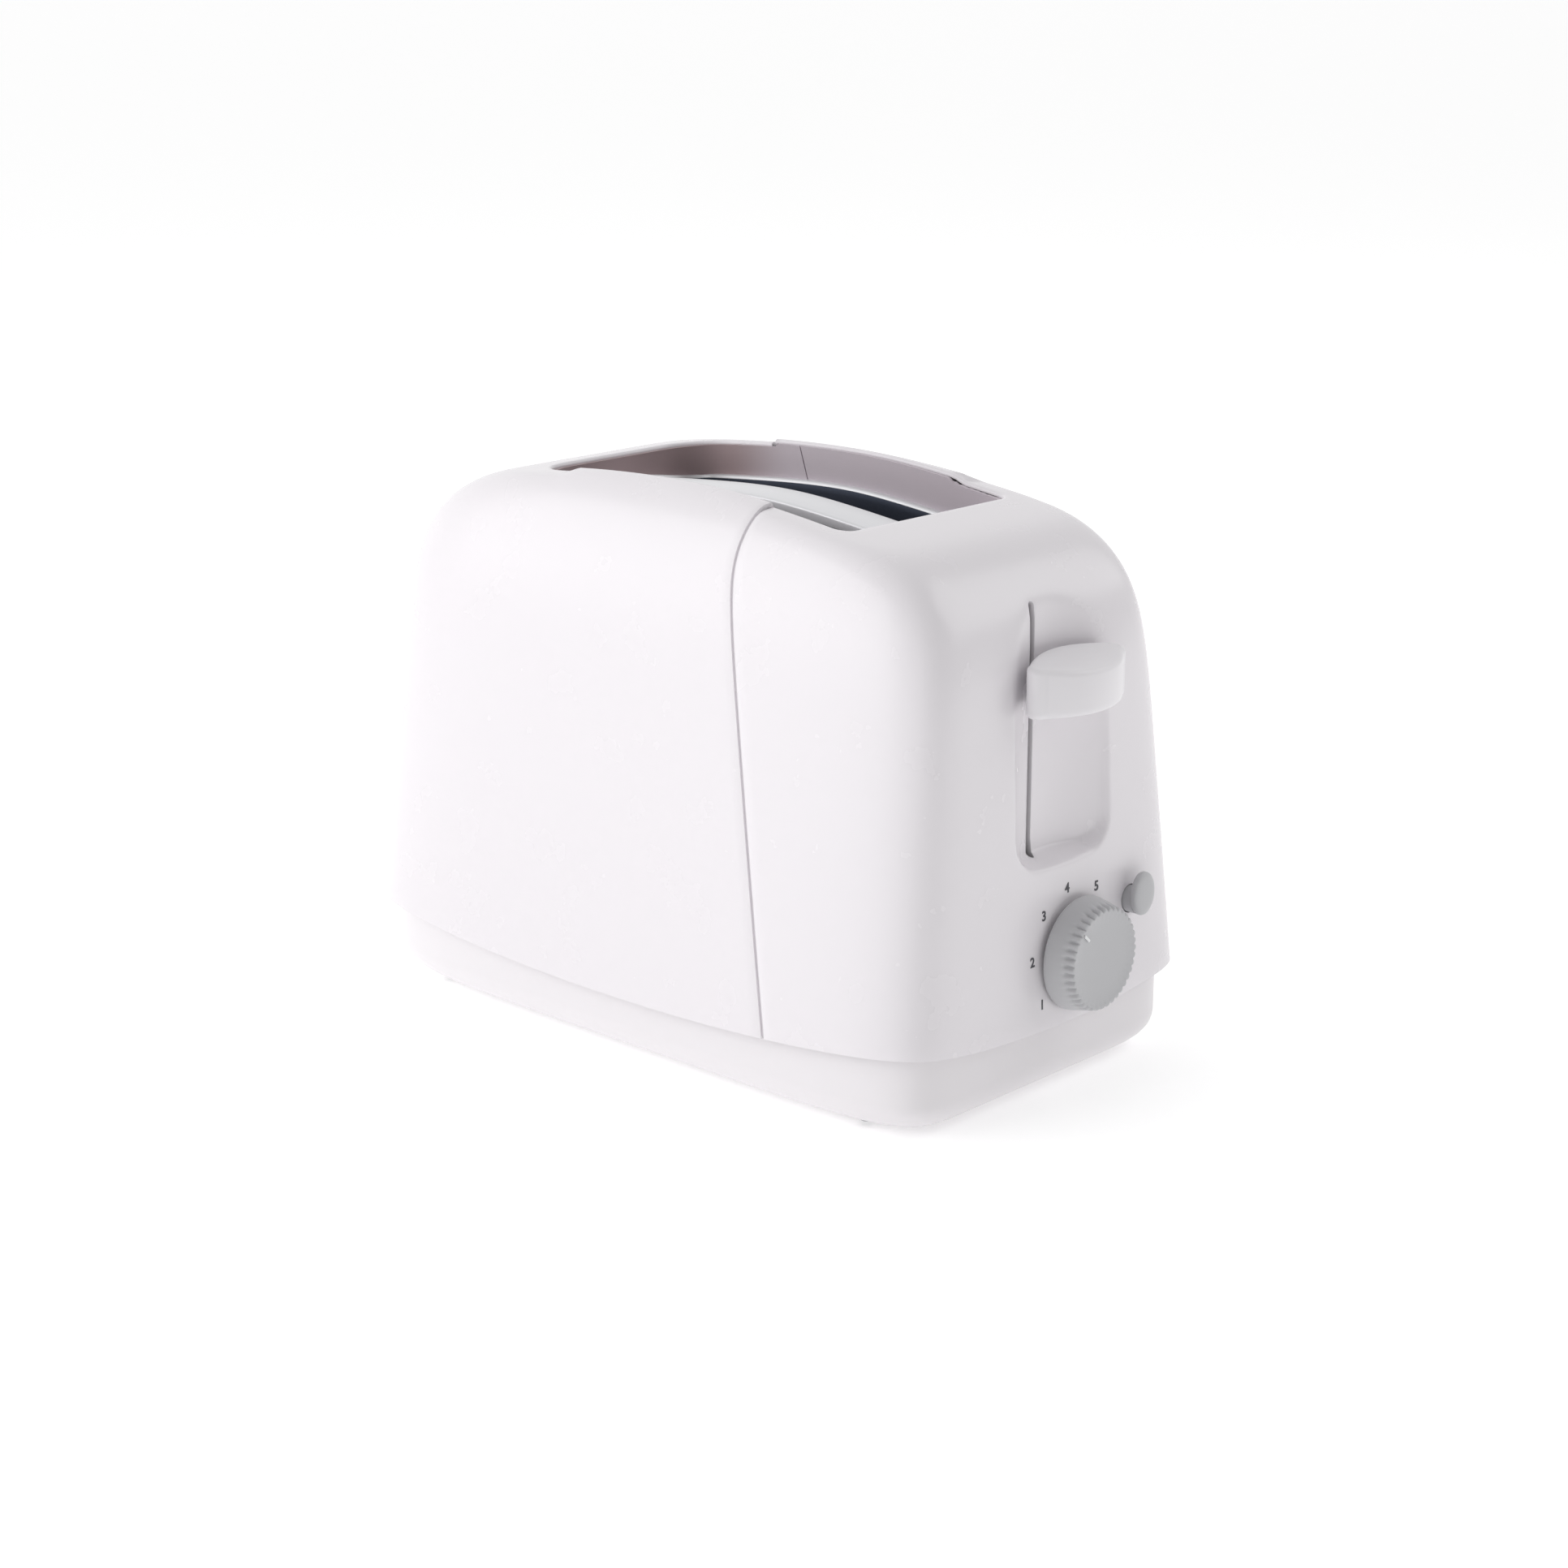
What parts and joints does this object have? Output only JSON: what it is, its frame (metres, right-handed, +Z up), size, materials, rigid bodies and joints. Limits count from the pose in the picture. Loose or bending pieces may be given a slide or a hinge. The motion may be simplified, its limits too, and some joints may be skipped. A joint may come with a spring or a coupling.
{
  "type": "pop up toaster",
  "caption": "White plastic pop-up toaster with an arched slot plate, finger lever, browning dial, cancel button and slide-out crumb tray.",
  "frame": {"origin": "on the standing surface, under the middle of the whole toaster's box", "axes": "+X along the long side towards the lever and dial, +Y across, +Z up"},
  "size_m": [0.271, 0.1564, 0.1932],
  "materials": {
    "casing_plastic": "satin white moulding",
    "base_plastic": "satin white moulding",
    "lining_plastic": "fine matt moulding",
    "slot_plate_metal": "fine satin",
    "galvanised_steel": "zinc coated",
    "reflector_metal": "aluminised sheet",
    "mica": "flaky board",
    "nichrome": "dull ribbon",
    "bush_brass": "sintered",
    "lever_plastic": "satin white moulding",
    "control_plastic": "silver grey",
    "magnet_iron": "ground",
    "coil_copper": "enamelled copper",
    "board_green": "solder resist",
    "black_plastic": "moulded",
    "foot_rubber": "soft rubber"
  },
  "bodies": {
    "housing": {"rear_shell": "casing_plastic", "control_shell": "casing_plastic", "base_tray": "base_plastic", "well_lining": "lining_plastic", "slot_plate": "slot_plate_metal", "front_plate": "galvanised_steel", "rear_plate": "galvanised_steel", "reflector_near": "reflector_metal", "reflector_far": "reflector_metal", "heater_near": "mica", "heater_far": "mica", "heater_centre": "mica", "winding_near": "nichrome", "winding_far": "nichrome", "winding_centre": "nichrome", "guide_rod": "galvanised_steel", "lift_spring": "galvanised_steel", "magnet_core": "magnet_iron", "magnet_coil": "coil_copper", "control_board": "board_green", "potentiometer": "black_plastic", "cancel_switch": "black_plastic", "mains_switch": "black_plastic", "cord_inlet": "black_plastic", "feet": "foot_rubber", "base_screws": "galvanised_steel"},
    "lift": {"rack_near": "galvanised_steel", "rack_far": "galvanised_steel", "carriage": "galvanised_steel", "carriage_bush": "bush_brass", "lever_arm": "galvanised_steel", "lever_knob": "lever_plastic", "latch_armature": "magnet_iron"},
    "dial": {"dial": "control_plastic", "dial_shaft": "lever_plastic"},
    "cancel_button": {"cancel_button": "control_plastic"},
    "crumb_tray": {"crumb_tray": "reflector_metal"},
    "guide_near_outer": {"guide_near_outer": "galvanised_steel"},
    "guide_near_inner": {"guide_near_inner": "galvanised_steel"},
    "guide_far_inner": {"guide_far_inner": "galvanised_steel"},
    "guide_far_outer": {"guide_far_outer": "galvanised_steel"}
  },
  "joints": [
    {"name": "lever_slide", "type": "slide", "parent": "housing", "child": "lift", "axis": [0, 0, 1], "range_m": [-0.048, 0.012], "stiffness_N_per_m": 60, "springref_m": 0.01837, "deforming": ["lift_spring"]},
    {"name": "dial_turn", "type": "hinge", "parent": "housing", "child": "dial", "pos_m": [0.1305, 0.009, 0.0475], "axis": [1, 0, 0], "range_deg": [-77, 82]},
    {"name": "cancel_press", "type": "slide", "parent": "housing", "child": "cancel_button", "axis": [1, 0, 0], "range_m": [-0.002, 0], "stiffness_N_per_m": 400, "springref_m": 0.001},
    {"name": "crumb_tray_slide", "type": "slide", "parent": "housing", "child": "crumb_tray", "axis": [-1, 0, 0], "range_m": [0, 0.15]},
    {"name": "guide_near_outer_tilt", "type": "hinge", "parent": "housing", "child": "guide_near_outer", "pos_m": [-0.0055, -0.0348, 0.047], "axis": [1, 0, 0], "range_deg": [-3.35, 0.88]},
    {"name": "guide_near_inner_tilt", "type": "hinge", "parent": "housing", "child": "guide_near_inner", "pos_m": [-0.0055, -0.0096, 0.047], "axis": [1, 0, 0], "range_deg": [-0.88, 3.35]},
    {"name": "guide_far_inner_tilt", "type": "hinge", "parent": "housing", "child": "guide_far_inner", "pos_m": [-0.0055, 0.0096, 0.047], "axis": [1, 0, 0], "range_deg": [-3.35, 0.88]},
    {"name": "guide_far_outer_tilt", "type": "hinge", "parent": "housing", "child": "guide_far_outer", "pos_m": [-0.0055, 0.0348, 0.047], "axis": [1, 0, 0], "range_deg": [-0.88, 3.35]}
  ],
  "couplings": [
    {"joint": "guide_near_outer_tilt", "follows": "lever_slide", "rad_per_m": 1.2},
    {"joint": "guide_near_inner_tilt", "follows": "lever_slide", "rad_per_m": -1.2},
    {"joint": "guide_far_inner_tilt", "follows": "lever_slide", "rad_per_m": 1.2},
    {"joint": "guide_far_outer_tilt", "follows": "lever_slide", "rad_per_m": -1.2}
  ]
}
